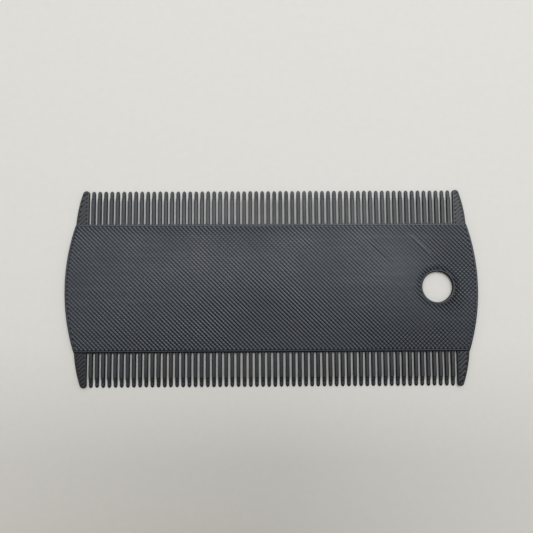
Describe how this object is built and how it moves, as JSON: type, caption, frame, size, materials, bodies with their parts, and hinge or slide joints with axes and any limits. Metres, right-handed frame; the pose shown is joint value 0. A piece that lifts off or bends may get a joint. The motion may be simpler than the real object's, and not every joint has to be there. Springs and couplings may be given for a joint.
{
  "type": "flea comb",
  "caption": "Flat double-sided flea comb with a grip plate, fine straight teeth along both long edges, a wide guard tooth at each end and a hanging hole.",
  "frame": {"origin": "centre of the flat underside, midway between the two tooth rows and the two ends", "axes": "+X along the comb towards the hanging hole, +Y towards the upper tooth row, +Z out of the grip plate's face"},
  "size_m": [0.0848, 0.0404, 0.0009],
  "materials": {
    "printed_plastic": "satin, fine printed lines"
  },
  "bodies": {
    "root": {"bottom_skin": "printed_plastic", "plate_core": "printed_plastic", "top_skin": "printed_plastic", "plate_rim": "printed_plastic", "hole_rim": "printed_plastic", "upper_tooth_row": "printed_plastic", "lower_tooth_row": "printed_plastic", "upper_left_guard": "printed_plastic", "upper_right_guard": "printed_plastic", "lower_left_guard": "printed_plastic", "lower_right_guard": "printed_plastic"}
  },
  "joints": []
}
